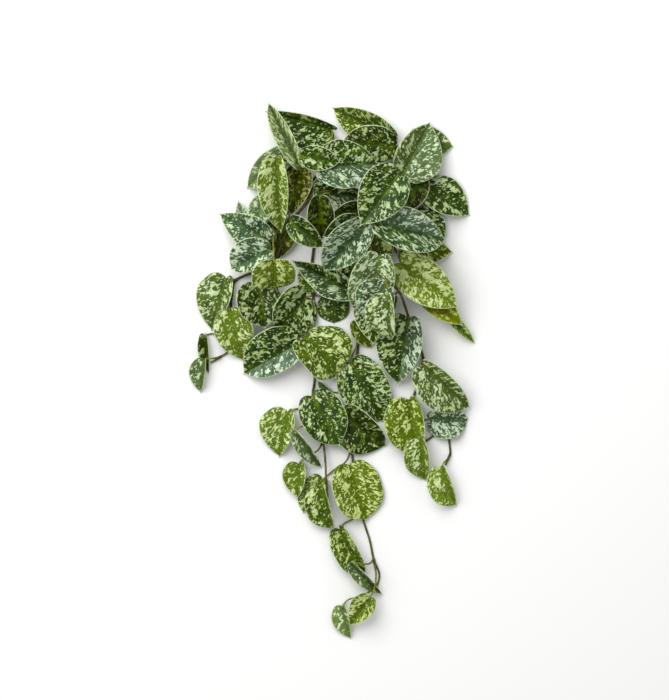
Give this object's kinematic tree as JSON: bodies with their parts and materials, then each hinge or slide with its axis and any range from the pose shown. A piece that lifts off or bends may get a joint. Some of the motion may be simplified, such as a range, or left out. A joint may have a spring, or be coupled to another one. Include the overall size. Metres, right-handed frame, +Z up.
{
  "type": "satin pothos",
  "caption": "Cut bunch of trailing satin pothos vines with silver-splashed heart-shaped leaves, lying on a surface with its leaves facing up.",
  "frame": {"origin": "on the surface the bunch lies on, under the middle of its plan", "axes": "+Z up, away from the surface; +Y along the bunch from the trailing vine tips towards the cut end of the main stem; +X to the right seen from above"},
  "size_m": [0.3728, 0.7002, 0.1025],
  "materials": {
    "leaf": "satin waxy green, splashed with pale silver green",
    "stem": "matte brown bark"
  },
  "bodies": {
    "root": {"main_stem": "stem", "back_left_vine": "leaf", "far_left_vine": "leaf", "long_vine": "leaf", "middle_vine": "leaf", "left_vine": "leaf", "top_right_vine": "leaf", "lower_right_vine": "leaf", "right_vine": "leaf", "trailing_right_vine": "leaf", "top_left_vine": "leaf", "front_vine": "leaf", "front_right_vine": "leaf", "crown_vine": "leaf"}
  },
  "joints": []
}
